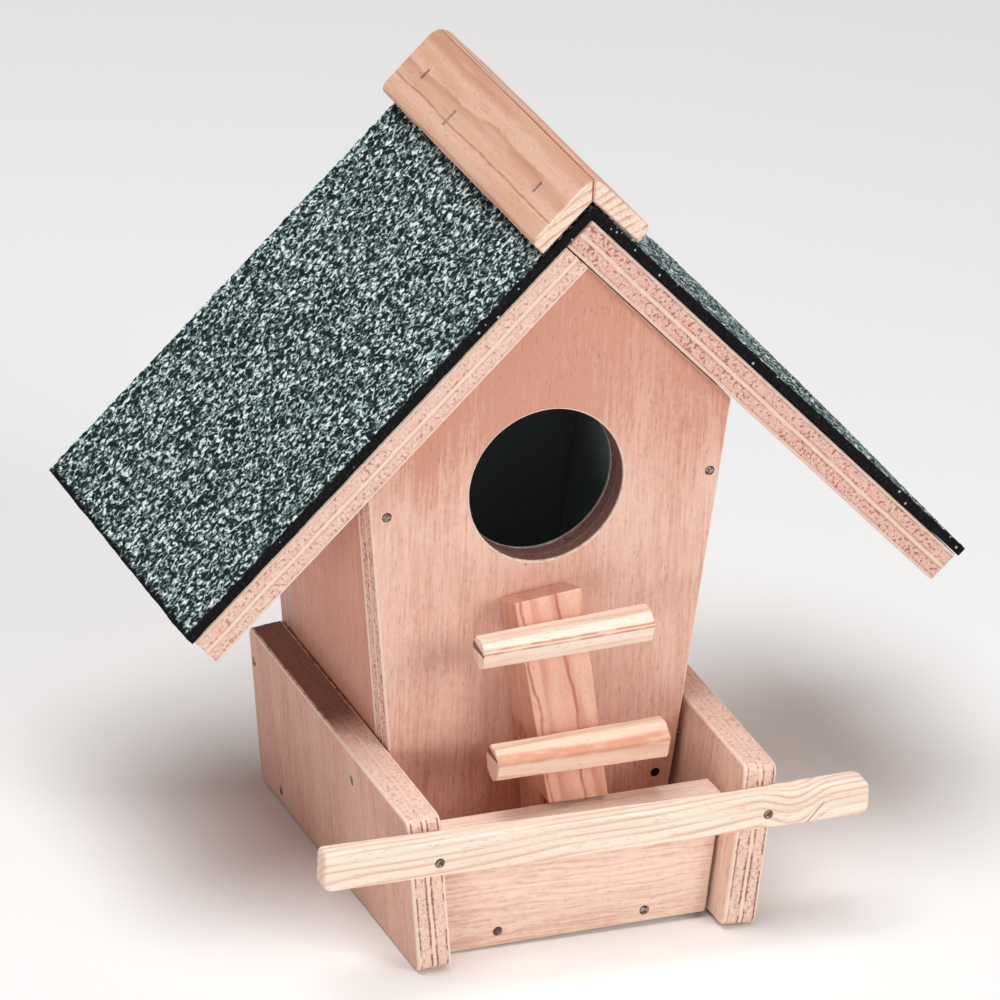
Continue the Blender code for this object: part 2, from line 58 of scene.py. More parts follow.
MM = 0.001
X, Y, Z = Vector((1, 0, 0)), Vector((0, 1, 0)), Vector((0, 0, 1))

# ---- camera, floor and light --------------------------------------------------------------
CAMERA_PLACE = (-0.7797, -1.8730, 1.0172)
CAMERA_AZIMUTH = math.radians(22.53)
CAMERA_ELEVATION = math.radians(24.32)
CAMERA_ROLL = math.radians(2.49)
CAMERA_LENS = 314.6
CAMERA_SHIFT = (-0.0268, -0.0212)
CAMERA_SENSOR = 36.0

FLOOR_COLOUR = (0.96, 0.96, 0.955)
FLOOR_RADIUS = 6.0
FLOOR_DROP = 0.2 * MM             # keeps the floor clear of the birdhouse's underside
WORLD_COLOUR = (1.0, 0.985, 0.97)
WORLD_STRENGTH = 0.15
AIM = (0.0, 0.0, 0.08)
LIGHTS = {
    # name: (place, diameter, power, colour)
    "key": ((1.00, -1.75, 0.95), 1.1, 19.5, (1.0, 0.97, 0.94)),
    "overhead": ((-0.45, -0.15, 2.10), 1.6, 36.0, (0.98, 0.99, 1.0)),
    "fill": ((-1.55, -1.45, 0.16), 0.6, 8.0, (1.0, 0.97, 0.95)),
}

# ---- colours, linear ----------------------------------------------------------------------
PLY_FACE = (0.87, 0.565, 0.455)
PLY_FACE_DEEP = (0.66, 0.32, 0.235)
PLY_CREAM = (0.94, 0.76, 0.64)
PLY_PORE = (0.30, 0.11, 0.075)
VENEER_EDGE = (0.93, 0.70, 0.56)
CROSSBAND = (0.77, 0.44, 0.36)
CROSSBAND_DARK = (0.34, 0.09, 0.075)
CROSSBAND_LIGHT = (0.89, 0.63, 0.53)
GLUE_LINE = (0.28, 0.09, 0.07)
# painted shadow on the rear of the left tray side's top edge
EDGE_SHADOW = (0.17, 0.08, 0.075)
# the arrises: paler sanded wood and partly a painted highlight
PALE_ARRIS_AND_HIGHLIGHT = (0.96, 0.76, 0.64)
# painted shade on the entrance's wall, and the dark of a stick's split end
SHADE_AND_CRACK_BROWN = (0.13, 0.045, 0.04)
# painted shade: the box's inner faces are tinted this grey-green so that the inside seen through the
# entrance looks dark
NEST_SHADE_PAINT = (0.37, 0.45, 0.445)
BITUMEN = (0.004, 0.004, 0.005)
BITUMEN_DUSTY = (0.020, 0.021, 0.020)
GRANULE_TONES = (
    (0.010, 0.017, 0.018),
    (0.095, 0.150, 0.155),
    (0.40, 0.52, 0.52),
    (0.90, 0.98, 0.96),
)
STEEL = (0.45, 0.37, 0.33)
STEEL_BROWN = (0.16, 0.095, 0.075)
# painted shade for the dark slots round a few fasteners
SLOT_SHADE = (0.030, 0.018, 0.014)
SLOT_SHADE_BROWN = (0.012, 0.007, 0.005)


# ---- shader building ----------------------------------------------------------------------
class Graph:
    """Adds shader nodes to a tree, so that a material reads as a formula."""

    def __init__(self, tree):
        self.tree = tree

    def add(self, kind, sockets=None, out=0, **settings):
        """Add a node, set its settings, feed its sockets by name or number, return one output."""
        node = self.tree.nodes.new("ShaderNode" + kind)
        for name, value in settings.items():
            setattr(node, name, value)
        for name, value in (sockets or {}).items():
            self.feed(node.inputs[name], value)
        return node.outputs[out]

    def feed(self, socket, value):
        """Link a socket to another node's output, or set its value."""
        if isinstance(value, bpy.types.NodeSocket):
            self.tree.links.new(value, socket)
        elif hasattr(socket.default_value, "__len__") and len(socket.default_value) == 4:
            socket.default_value = (*value, 1.0)
        else:
            socket.default_value = value

    def math(self, operation, a, b=0.0, clamp=False):
        return self.add("Math", {0: a, 1: b}, operation=operation, use_clamp=clamp)

    def plus(self, *terms):
        """Return the sum of the terms."""
        total = terms[0]
        for term in terms[1:]:
            total = self.math("ADD", total, term)
        return total

    def times(self, *factors):
        """Return the product of the factors."""
        product = factors[0]
        for factor in factors[1:]:
            product = self.math("MULTIPLY", product, factor)
        return product

    def far(self, a, b):
        """Return the distance between two numbers."""
        return self.math("ABSOLUTE", self.math("SUBTRACT", a, b))

    def vector(self, operation, a, b):
        return self.add("VectorMath", {0: a, 1: b}, operation=operation)

    def noise(self, place, scale, detail=2.0, roughness=0.5, distortion=0.0):
        """Return a noise between 0 and 1 with about scale bumps for each unit."""
        sockets = {"Vector": place, "Scale": scale, "Detail": detail,
                   "Roughness": roughness, "Distortion": distortion}
        return self.add("TexNoise", sockets)

    def fibres(self, place, stretch, detail=2.0, roughness=0.5):
        """Return noise drawn out along the grain: stretch is the number of bumps along each axis."""
        return self.noise(self.vector("MULTIPLY", place, stretch), 1.0, detail, roughness)

    def cells(self, place, size):
        """Return the distance to the nearest of scattered points, in cells, and two random numbers."""
        node = self.tree.nodes.new("ShaderNodeTexVoronoi")
        self.feed(node.inputs["Vector"], place)
        self.feed(node.inputs["Scale"], 1.0 / size)
        first, second, _ = self.split(node.outputs["Color"])
        return node.outputs["Distance"], first, second

    def step(self, value, low, high, to_low=0.0, to_high=1.0):
        """Return to_low below low, to_high above high, and a smooth change between them."""
        sockets = {"Value": value, "From Min": low, "From Max": high, "To Min": to_low, "To Max": to_high}
        return self.add("MapRange", sockets, interpolation_type="SMOOTHSTEP")

    def mix(self, share, a, b):
        """Mix two colours, share 0 gives a."""
        node = self.tree.nodes.new("ShaderNodeMix")
        node.data_type = "RGBA"
        factor, first, second = (node.inputs[index] for index in (0, 6, 7))
        for socket, value in ((factor, share), (first, a), (second, b)):
            self.feed(socket, value)
        return node.outputs[2]

    def split(self, place):
        """Return the x, y and z of a vector."""
        node = self.tree.nodes.new("ShaderNodeSeparateXYZ")
        self.feed(node.inputs[0], place)
        return node.outputs[:]

    def join(self, x, y, z):
        return self.add("CombineXYZ", {0: x, 1: y, 2: z})


SURFACE_INPUTS = (("Place", "Vector"), ("Facing", "Float"), ("End", "Float"), ("Seed", "Float"))
SURFACE_OUTPUTS = (("Color", "Color"), ("Roughness", "Float"), ("Height", "Float"))
SEED_SHIFT = (37.1, 17.3, 7.7)


def new_group(name, inputs):
    """Make a node group for a surface; return its graph, its input sockets and its output node."""
    tree = bpy.data.node_groups.new(name, "ShaderNodeTree")
    for socket, kind in SURFACE_INPUTS + inputs:
        tree.interface.new_socket(name=socket, in_out="INPUT", socket_type="NodeSocket" + kind)
    for socket, kind in SURFACE_OUTPUTS:
        tree.interface.new_socket(name=socket, in_out="OUTPUT", socket_type="NodeSocket" + kind)
    given = tree.nodes.new("NodeGroupInput")
    result = tree.nodes.new("NodeGroupOutput")
    return Graph(tree), given.outputs, result


def finish_group(g, result, colour, roughness, height):
    """Connect a surface group's three outputs and return the group."""
    for name, value in zip(("Color", "Roughness", "Height"), (colour, roughness, height)):
        g.feed(result.inputs[name], value)
    return g.tree


def seeded(g, given):
    """Return the place on a piece, moved to that piece's own stretch of the wood."""
    seed = g.join(given["Seed"], given["Seed"], given["Seed"])
    return g.vector("ADD", given["Place"], g.vector("MULTIPLY", seed, SEED_SHIFT))


# ---- plywood ------------------------------------------------------------------------------
PLY_THICK = 9.0
FACE_VENEER = 0.75
CORE_VENEER = 0.9
LEVEL_SWAY = 40.0                 # how unevenly the painted shade above and below two levels of a face begins
SHADE_ABOVE_FADE = 36.0
SHADE_BELOW_FADE = 30.0
SHADOW_FADE = 16.0
ROW_WIDTH = 1.8
PIN_KNOT_SPACING = 8.0


def veneer_deep_and_shade(g, given, along, broad, tone):
    """Return how much deep red shows: in streaks of the wood, as painted shade above and below two levels,
    and all over a board whose tone is below zero, painted shade on the left wall and the left tray side.
    """
    level = g.plus(along, g.times(g.plus(broad, -0.5), LEVEL_SWAY))
    # Painted shade: the face turns deeper red above one level and below another, under the roof and down
    # behind the tray.
    above = g.step(level, given["Shade Above"], g.plus(given["Shade Above"], SHADE_ABOVE_FADE))
    below = g.step(level, g.plus(given["Shade Below"], -SHADE_BELOW_FADE), given["Shade Below"], 0.75, 0.0)
    painted_shade = g.times(g.plus(above, below), g.step(tone, 0.50, 0.80, 0.76, 1.0))
    deep = g.plus(g.step(tone, 0.54, 0.90, 0.0, 0.74), painted_shade)
    return g.math("SUBTRACT", deep, g.math("MINIMUM", given["Tone And Painted Light"], 0.0), clamp=True)


def veneer_rows(g, given, place, across):
    """Return the wavy rows of darker grain along a veneer."""
    wavy = g.plus(across, g.times(g.plus(g.fibres(place, (1 / 34, 1 / 9, 1.0)), -0.5), 7.0))
    ring = g.math("FRACT", g.math("DIVIDE", wavy, ROW_WIDTH))
    rows = g.times(g.step(ring, 0.30, 0.60), g.step(ring, 0.64, 0.95, 1.0, 0.0))
    return g.times(rows, g.step(g.fibres(place, (1 / 15, 1 / 1.7, 1.0)), 0.38, 0.62), given["Rows"])


def pin_knots(g, place):
    """Return a few scattered pin knots."""
    distance, chance, _ = g.cells(place, PIN_KNOT_SPACING)
    return g.times(g.step(distance, 0.030, 0.060, 1.0, 0.0), g.step(chance, 0.66, 0.68))


def plywood_face(g, given, place):
    """Rotary-cut veneer: dense straight streaks, short open pores, mottling and a few pin knots."""
    along, across, _ = g.split(given["Place"])
    broad = g.fibres(place, (1 / 70, 1 / 11, 1 / 11), 2.0)
    streaks = g.fibres(place, (1 / 26, 1 / 0.9, 1.0), 3.0, 0.6)
    strokes = g.fibres(place, (1 / 6.0, 1 / 0.55, 1.0), 1.0)
    mottle = g.noise(place, 1 / 1.4, 2.0)
    tone = g.plus(g.times(broad, 0.35), g.times(streaks, 0.45), g.times(strokes, 0.30),
                  g.times(mottle, 0.22))
    # A board's tone input lifts it toward cream: its own paler tone, and painted light on the right tray
    # side's inner face.
    colour = g.mix(g.math("MAXIMUM", given["Tone And Painted Light"], 0.0), PLY_FACE, PLY_CREAM)
    colour = g.mix(veneer_deep_and_shade(g, given, along, broad, tone), colour, PLY_FACE_DEEP)
    colour = g.mix(veneer_rows(g, given, place, across), colour, PLY_FACE_DEEP)
    pores = g.step(g.fibres(place, (1 / 3.0, 1 / 0.42, 1.0), 1.0), 0.66, 0.74)
    colour = g.mix(g.times(pores, 0.34), colour, PLY_PORE)
    colour = g.mix(g.times(pin_knots(g, place), 0.75), colour, PLY_PORE)
    height = g.plus(g.times(streaks, 0.05), g.times(strokes, 0.03), g.times(pores, -0.05))
    return colour, streaks, height


def edge_plies(g, given, place, torn, pale, end):
    """Return the colour of the torn crossbands and of the pale veneers beside them."""
    specks = g.noise(place, 1 / 0.95, 1.0)
    patches = g.noise(place, 1 / 14.0, 1.0)
    speckled = g.step(g.plus(specks, g.times(patches, 0.25)), 0.68, 0.80)
    crossband = g.mix(g.step(torn, 0.36, 0.62), CROSSBAND_LIGHT, CROSSBAND)
    crossband = g.mix(g.times(speckled, given["Specks"]), crossband, CROSSBAND_DARK)
    veneer = g.mix(g.times(g.step(torn, 0.50, 0.72), 0.45), VENEER_EDGE, CROSSBAND)
    return g.mix(g.times(pale, g.step(end, 0.0, 1.0, 1.0, 0.35)), crossband, veneer)


def glue_lines(g, given, place, torn, off_core, depth_in, end):
    """Return the ragged, broken glue lines beside the pale veneers, faint on the end grain."""
    near_core = g.far(off_core, CORE_VENEER / 2 + 0.25)
    near_skin = g.far(depth_in, FACE_VENEER + 0.2)
    ragged = g.times(g.plus(torn, -0.5), 0.9)
    line = g.step(g.plus(g.math("MINIMUM", near_core, near_skin), ragged), 0.10, 0.38, 1.0, 0.0)
    broken = g.step(g.noise(place, 0.30, 2.0), 0.36, 0.52)
    return g.times(line, broken, given["Glue"], g.step(end, 0.0, 1.0, 1.0, 0.12))


def painted_edge_shadow(g, given, torn, end):
    """Return the painted shadow on an end-grain edge, up to one place across the board."""
    _, across, _ = g.split(given["Place"])
    start = g.plus(given["Painted Shadow"], -SHADOW_FADE)
    shadow = g.step(g.plus(across, g.times(torn, 8.0)), start, given["Painted Shadow"], 0.8, 0.0)
    return g.times(shadow, end)


def plywood_edge(g, given, place, depth, depth_in):
    """Sawn edge: pale thin veneers at both faces and the middle, torn reddish crossbands between."""
    end = g.step(given["End"], 0.5, 0.8)
    wander = g.times(g.plus(g.noise(place, 0.06, 1.0), -0.5), 0.7)
    off_core = g.far(g.plus(depth, wander), PLY_THICK / 2)
    torn = g.noise(place, 1 / 0.75, 2.0, 0.65)
    core = g.step(off_core, CORE_VENEER / 2, CORE_VENEER / 2 + 0.15, 1.0, 0.0)
    skin = g.step(depth_in, FACE_VENEER, FACE_VENEER + 0.15, 1.0, 0.0)
    pale = g.math("MAXIMUM", core, skin)
    colour = edge_plies(g, given, place, torn, pale, end)
    colour = g.mix(g.math("MAXIMUM", given["Pale Edge"], 0.0), colour, PLY_CREAM)
    colour = g.mix(g.times(g.math("MINIMUM", given["Pale Edge"], 0.0), -1.0), colour, CROSSBAND_DARK)
    # Painted shadow: the rear of the left tray side's top edge is darkened where the roof and the body shade
    # it.
    colour = g.mix(painted_edge_shadow(g, given, torn, end), colour, EDGE_SHADOW)
    colour = g.mix(glue_lines(g, given, place, torn, off_core, depth_in, end), colour, GLUE_LINE)
    height = g.plus(g.times(torn, 0.20), g.times(pale, 0.06))
    return colour, height


def plywood_group():
    """Five plies, seen on their faces, on their sawn edges and along the arrises, which are sanded paler and
    carry a painted highlight.
    """
    inputs = (("Inside", "Float"), ("Glue", "Float"), ("Specks", "Float"), ("Tone And Painted Light", "Float"),
              ("Pale Edge", "Float"), ("Shade Above", "Float"), ("Shade Below", "Float"),
              ("Painted Shadow", "Float"), ("Rows", "Float"), ("Hole", "Vector"), ("Hole Radius", "Float"))
    g, given, result = new_group("plywood", inputs)
    place = seeded(g, given)
    along, across, depth = g.split(given["Place"])
    depth_in = g.math("MINIMUM", depth, g.math("SUBTRACT", PLY_THICK, depth))
    face, streaks, face_height = plywood_face(g, given, place)
    edge, edge_height = plywood_edge(g, given, place, depth, depth_in)

    # Painted shade darkens the entrance's wall, least on the pale veneers.
    in_plane = g.join(along, across, 0.0)
    radius = g.add("VectorMath", {0: in_plane, 1: given["Hole"]}, out=1, operation="DISTANCE")
    rim = given["Hole Radius"]
    hole_shade = g.step(radius, g.plus(rim, 0.25), g.plus(rim, 0.45), 1.0, 0.0)
    edge = g.mix(g.times(hole_shade, g.step(depth_in, 0.4, 1.2, 0.35, 0.85)), edge, SHADE_AND_CRACK_BROWN)

    is_face = g.times(g.step(given["Facing"], 0.94, 0.985), g.step(depth_in, 0.10, 0.30, 1.0, 0.0))
    # The rounded arris faces are paler: sanded wood and partly a painted highlight.
    arris_faces = g.times(g.step(given["Facing"], 0.15, 0.30), g.step(depth_in, 0.75, 0.95, 1.0, 0.0))
    worn = g.step(g.noise(place, 0.5, 2.0), 0.34, 0.56, 0.15, 0.80)
    colour = g.mix(g.times(arris_faces, worn), edge, PALE_ARRIS_AND_HIGHLIGHT)
    colour = g.mix(is_face, colour, face)
    # Painted shade: the inner faces of the walls and panels are tinted grey-green for the dark inside of the
    # box.
    rear = g.times(g.step(depth, PLY_THICK - 0.8, PLY_THICK - 0.2), given["Inside"])
    colour = g.mix(rear, colour, NEST_SHADE_PAINT)
    height = g.plus(g.times(face_height, is_face), g.times(edge_height, g.math("SUBTRACT", 1.0, is_face)))
    return finish_group(g, result, colour, g.step(streaks, 0.3, 0.7, 0.52, 0.66), height)


# ---- pine ---------------------------------------------------------------------------------
KNOT_REACH = 11.0                 # how far from a knot the rings bend
KNOT_BEND = -2.6
CHECK_PAST_KNOT = 12.5            # the slanting crack's place along the stick, from the knot
CHECK_SLANT = 0.9
SPLIT_SLANT = 0.3


def growth_rings(g, given, place):
    """Return how much latewood shows: rings about a far centre line, bent by sway and by a knot."""
    along, _, _ = g.split(given["Place"])
    _, y, z = g.split(g.vector("SUBTRACT", given["Place"], given["Ring Centre"]))
    radius = g.math("SQRT", g.plus(g.times(y, y), g.times(z, z)))
    sway = g.times(g.plus(g.fibres(place, (1 / 90, 1 / 18, 1 / 18)), -0.5), given["Sway"])
    swirl = g.times(g.step(g.far(along, given["Knot"]), 0.0, KNOT_REACH, 1.0, 0.0), KNOT_BEND)
    uneven = g.times(g.noise(g.join(radius, 0.0, given["Seed"]), 0.35, 1.0), 1.6)
    rings = g.math("DIVIDE", g.plus(radius, sway, swirl, uneven, g.times(along, given["Slope"])),
                   given["Ring Width"])
    phase = g.math("FRACT", rings)
    late = g.times(g.step(phase, 0.45, 0.90), g.step(phase, 0.92, 1.0, 1.0, 0.0))
    return g.times(late, g.step(g.fibres(place, (1 / 34, 1 / 3.4, 1 / 3.4)), 0.30, 0.62, 0.30, 1.0))


def pine_stripe(g, given, place):
    """Return the dark line, or pair of lines, that runs along a stick at one place across it."""
    _, across, _ = g.split(given["Place"])
    wobble = g.times(g.plus(g.fibres(place, (1 / 16, 1 / 40, 1 / 40)), -0.5), given["Stripe Sway"])
    off = g.far(g.plus(across, wobble), given["Stripe"])
    half = given["Stripe Width"]
    line = g.step(g.far(off, given["Stripe Gap"]), g.times(half, 0.3), half, 1.0, 0.0)
    return g.times(line, g.step(g.fibres(place, (1 / 5, 1 / 2, 1 / 2)), 0.34, 0.58, 0.5, 1.0))


def end_split(g, given):
    """Return the dark wedge where the end of a stick has split."""
    _, across, depth = g.split(given["Place"])
    from_line = g.far(g.plus(across, g.times(depth, SPLIT_SLANT)), given["Split"])
    opening = g.plus(1.8, g.times(depth, -0.17))
    wedge = g.step(from_line, g.times(opening, 0.5), opening, 1.0, 0.0)
    return g.times(wedge, g.step(depth, 7.5, 8.5, 1.0, 0.0))


def knot_check(g, given):
    """Return the short slanting crack beside a knot."""
    along, across, _ = g.split(given["Place"])
    crack_line = g.plus(given["Knot"], CHECK_PAST_KNOT)
    from_line = g.far(g.plus(along, g.times(across, CHECK_SLANT)), crack_line)
    crack = g.step(from_line, 0.15, 0.45, 1.0, 0.0)
    return g.times(crack, g.step(across, 4.6, 6.0))


def pine_grain(g, given, place, late, fine, mottle, is_end):
    """Return the colour of clean wood: broad tones, growth rings, fine fibres and short dashes."""
    broad = g.fibres(place, (1 / 60, 1 / 6, 1 / 6))
    dashes = g.step(g.fibres(place, (1 / 2.6, 1 / 0.5, 1 / 0.5), 1.0), 0.62, 0.70)
    wood = g.mix(g.step(broad, 0.44, 0.66, 0.0, 0.55), given["Early"], given["Stain"])
    wood = g.mix(is_end, wood, given["End Grain"])
    wood = g.mix(g.times(late, 0.85), wood, given["Late"])
    wood = g.mix(g.step(fine, 0.48, 0.76, 0.0, 0.32), wood, given["Late"])
    wood = g.mix(g.step(mottle, 0.52, 0.76, 0.0, 0.22), wood, given["Stain"])
    return g.mix(g.times(dashes, 0.50), wood, given["Late"])


def pine_marks(g, given, place, wood, fine, is_end):
    """Return the wood with its stripe, its sides darkened as painted shade, the crack by its knot and its
    split end.
    """
    stripe = g.times(pine_stripe(g, given, place), g.step(is_end, 0.0, 1.0, 0.85, 0.0))
    wood = g.mix(stripe, wood, given["Line"])
    # Painted shade: the sides of a stick, the ladder post's, are darkened.
    side = g.step(given["Facing"], 0.3, 0.6, 1.0, 0.0)
    side_shade = g.times(side, given["Side Shade"], g.step(fine, 0.34, 0.60, 0.45, 1.0))
    wood = g.mix(side_shade, wood, given["Line"])
    wood = g.mix(g.times(knot_check(g, given), 0.7), wood, PLY_PORE)
    return g.mix(g.times(end_split(g, given), is_end, 0.9), wood, SHADE_AND_CRACK_BROWN)


def pine_group():
    """Sawn pine: growth-ring lines along the length, arcs and a paler tone on the ends."""
    inputs = (("Ring Centre", "Vector"), ("Ring Width", "Float"), ("Slope", "Float"), ("Sway", "Float"),
              ("Knot", "Float"), ("Stripe", "Float"), ("Stripe Gap", "Float"), ("Stripe Width", "Float"),
              ("Stripe Sway", "Float"), ("Early", "Color"), ("Late", "Color"), ("Stain", "Color"),
              ("Line", "Color"), ("End Grain", "Color"), ("Side Shade", "Float"), ("Split", "Float"))
    g, given, result = new_group("pine", inputs)
    place = seeded(g, given)
    late = growth_rings(g, given, place)
    fine = g.fibres(place, (1 / 18, 1 / 0.45, 1 / 0.45), 3.0, 0.6)
    mottle = g.noise(place, 1 / 1.3, 2.0)
    is_end = g.step(given["End"], 0.55, 0.80)
    wood = pine_grain(g, given, place, late, fine, mottle, is_end)
    wood = pine_marks(g, given, place, wood, fine, is_end)
    height = g.plus(g.times(late, 0.06), g.times(fine, 0.06), g.times(mottle, 0.04))
    return finish_group(g, result, wood, g.step(fine, 0.3, 0.7, 0.45, 0.62), height)


# ---- roofing felt -------------------------------------------------------------------------
def granules_group():
    """Crushed mineral granules of several greens, pressed close together in black bitumen."""
    inputs = (("Left", "Float"), ("Right", "Float"), ("Front", "Float"))
    g, given, result = new_group("granules", inputs)
    place = given["Place"]
    x, y, _ = g.split(place)
    distance, chance, glint = g.cells(place, 1.6)
    heaps = g.noise(place, 1 / 1.3, 0.0, 0.5, 1.0)
    pick = g.plus(heaps, g.times(distance, -0.28), g.times(chance, 0.10))
    dark, middle, light, white = GRANULE_TONES
    colour = g.mix(g.step(pick, 0.31, 0.42), dark, middle)
    colour = g.mix(g.step(pick, 0.44, 0.53), colour, light)
    colour = g.mix(g.step(pick, 0.55, 0.64), colour, white)
    to_eave = g.math("MINIMUM", g.math("SUBTRACT", x, given["Left"]), g.math("SUBTRACT", given["Right"], x))
    to_edge = g.math("MINIMUM", to_eave, g.math("SUBTRACT", y, given["Front"]))
    fringe = g.step(g.plus(to_edge, g.times(g.noise(place, 1 / 1.6, 1.0), -2.4)), -0.2, 0.7, 1.0, 0.0)
    colour = g.mix(fringe, colour, BITUMEN)
    height = g.plus(g.times(heaps, 0.9), g.times(distance, -0.6))
    return finish_group(g, result, colour, g.step(glint, 0.0, 1.0, 0.50, 0.9), height)


def bitumen_group():
    """The felt's cut edge and underside: black bitumen with a few stray granules."""
    g, given, result = new_group("bitumen", ())
    distance, chance, _ = g.cells(given["Place"], 1.7)
    thin_out = g.step(g.noise(given["Place"], 1 / 16.0, 1.0), 0.42, 0.60, 0.97, 0.66)
    stray = g.times(g.step(distance, 0.16, 0.26, 1.0, 0.0), g.step(chance, thin_out, g.plus(thin_out, 0.02)))
    matted = g.noise(given["Place"], 1 / 0.8, 3.0)
    colour = g.mix(g.step(matted, 0.50, 0.75), BITUMEN, BITUMEN_DUSTY)
    colour = g.mix(stray, colour, GRANULE_TONES[2])
    return finish_group(g, result, colour, g.step(matted, 0.3, 0.7, 0.80, 0.95), g.times(matted, 0.3))


PLYWOOD = plywood_group()
PINE = pine_group()
GRANULES = granules_group()
BITUMEN_EDGE = bitumen_group()


# ---- materials ----------------------------------------------------------------------------
def local_place(g, axes):
    """Return object coordinates in millimetres in the frame whose columns are axes."""
    inverse = axes.inverted()
    mapping = g.tree.nodes.new("ShaderNodeMapping")
    mapping.vector_type = "POINT"
    g.feed(mapping.inputs["Vector"], g.add("TexCoord", out=3))
    mapping.inputs["Location"].default_value = inverse.to_translation() / MM
    mapping.inputs["Rotation"].default_value = inverse.to_euler()
    mapping.inputs["Scale"].default_value = (1 / MM, 1 / MM, 1 / MM)
    return mapping.outputs[0]


def surface_material(name, group, axes, values, specular=0.3):
    """Make a material from a surface group in a piece's frame.

    Facing is 1 where the surface faces through the piece, End is 1 where it faces along the grain.
    """
    material = bpy.data.materials.new(name)
    material.use_nodes = True
    tree = material.node_tree
    g = Graph(tree)
    shader = tree.nodes["Principled BSDF"]
    surface = tree.nodes.new("ShaderNodeGroup")
    surface.node_tree = group
    true_normal = g.add("NewGeometry", out=3)
    for socket, column in (("Facing", 2), ("End", 0)):
        axis = tuple(axes.col[column].to_3d())
        toward = g.add("VectorMath", {0: true_normal, 1: axis}, out=1, operation="DOT_PRODUCT")
        g.feed(surface.inputs[socket], g.math("ABSOLUTE", toward))
    g.feed(surface.inputs["Place"], local_place(g, axes))
    for socket, value in values.items():
        g.feed(surface.inputs[socket], value)
    g.feed(shader.inputs["Base Color"], surface.outputs["Color"])
    g.feed(shader.inputs["Roughness"], surface.outputs["Roughness"])
    relief = {"Height": surface.outputs["Height"], "Distance": MM, "Strength": 1.0}
    g.feed(shader.inputs["Normal"], g.add("Bump", relief))
    shader.inputs["Specular IOR Level"].default_value = specular
    return material


def steel_material(name, bright, brown_tone, metallic, specular):
    """Dull steel with brown stains on it."""
    material = bpy.data.materials.new(name)
    material.use_nodes = True
    g = Graph(material.node_tree)
    shader = material.node_tree.nodes["Principled BSDF"]
    place = g.vector("MULTIPLY", g.add("TexCoord", out=3), (1 / MM, 1 / MM, 1 / MM))
    brown = g.step(g.noise(place, 1.1, 3.0), 0.40, 0.60)
    g.feed(shader.inputs["Base Color"], g.mix(brown, bright, brown_tone))
    g.feed(shader.inputs["Roughness"], g.step(brown, 0.0, 1.0, 0.45, 0.8))
    relief = {"Height": g.noise(place, 3.0, 2.0), "Distance": 0.15 * MM, "Strength": 0.8}
    g.feed(shader.inputs["Normal"], g.add("Bump", relief))
    shader.inputs["Metallic"].default_value = metallic
    shader.inputs["Specular IOR Level"].default_value = specular
    return material


def wear(obj, material):
    """Give an object one material on all of its faces."""
    obj.data.materials.clear()
    obj.data.materials.append(material)
    for polygon in obj.data.polygons:
        polygon.material_index = 0


# ---- frames of the pieces -----------------------------------------------------------------
def widest_normal(mesh, hint):
    """Return the direction that most of a mesh's flat area faces, on the side of the hint."""
    areas = {}
    for polygon in mesh.polygons:
        normal = polygon.normal.copy()
        if normal.dot(hint) < 0:
            normal.negate()
        key = tuple(round(value, 1) for value in normal)
        areas.setdefault(key, []).append((polygon.area, normal))
    best = max(areas.values(), key=lambda found: sum(area for area, _ in found))
    return sum((normal * area for area, normal in best), Vector()).normalized()


def long_axis(mesh, hint):
    """Return the direction in which a mesh is longest, on the side of the hint."""
    points = np.array([vertex.co for vertex in mesh.vertices])
    spread = np.cov((points - points.mean(axis=0)).T)
    longest = Vector(np.linalg.eigh(spread)[1][:, 2])
    return longest if longest.dot(hint) > 0 else -longest


def piece_axes(mesh, grain, through):
    """Return a piece's frame: x along grain, z through it, with its origin at the lowest corner."""
    u = grain - through * through.dot(grain)
    u.normalize()
    turn = Matrix((u, through.cross(u), through)).transposed()
    corners = [turn.transposed() @ vertex.co for vertex in mesh.vertices]
    lowest = Vector(min(corner[axis] for corner in corners) for axis in range(3))
    return Matrix.Translation(turn @ lowest) @ turn.to_4x4()


# ---- worn copies of the CAD pieces --------------------------------------------------------
WELD = 0.001 * MM
FLAT_ANGLE = math.radians(1.0)
FLAT_NEAR = 0.01 * MM             # points this close to a level lie on it
WHOLE_FACE = 0.9                  # a face that points this much along the kept axis stays whole
FASTENER_CLEAR = 1.2 * MM         # the wood round nails and staples isn't worn
MITRE_CLEAR = 0.2 * MM            # nor are the faces where the ridge caps meet
FASTENERS = [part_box(name) for name in NODES if "nail" in name or "staple" in name]


def near_fastener(point):
    """Return whether a point is close to the box of a nail or a staple."""
    for low, high in FASTENERS:
        gap = [max(low[axis] - point[axis], point[axis] - high[axis], 0.0) for axis in range(3)]
        if Vector(gap).length < FASTENER_CLEAR:
            return True
    return False


def clean_bmesh(mesh, axes):
    """Return a bmesh of a CAD mesh in its piece's frame, welded and with its flat faces joined."""
    bm = bmesh.new()
    bm.from_mesh(mesh)
    bm.transform(axes.inverted())
    bmesh.ops.remove_doubles(bm, verts=bm.verts, dist=WELD)
    bmesh.ops.dissolve_limit(bm, angle_limit=FLAT_ANGLE, verts=bm.verts, edges=bm.edges)
    return bm


def worn_faces(bm, kept):
    """Return the faces that don't point along the kept axis."""
    return [face for face in bm.faces if abs(face.normal[kept]) < WHOLE_FACE]


def cut_faces(bm, kept, axis, places):
    """Cut the faces that wear across an axis, at places in millimetres along it."""
    direction = Vector((0.0, 0.0, 0.0))
    direction[axis] = 1.0
    for place in places:
        faces = worn_faces(bm, kept)
        edges = {edge for face in faces for edge in face.edges}
        verts = {vert for face in faces for vert in face.verts}
        bmesh.ops.bisect_plane(bm, geom=[*faces, *edges, *verts], dist=WELD,
                               plane_co=direction * place * MM, plane_no=direction)


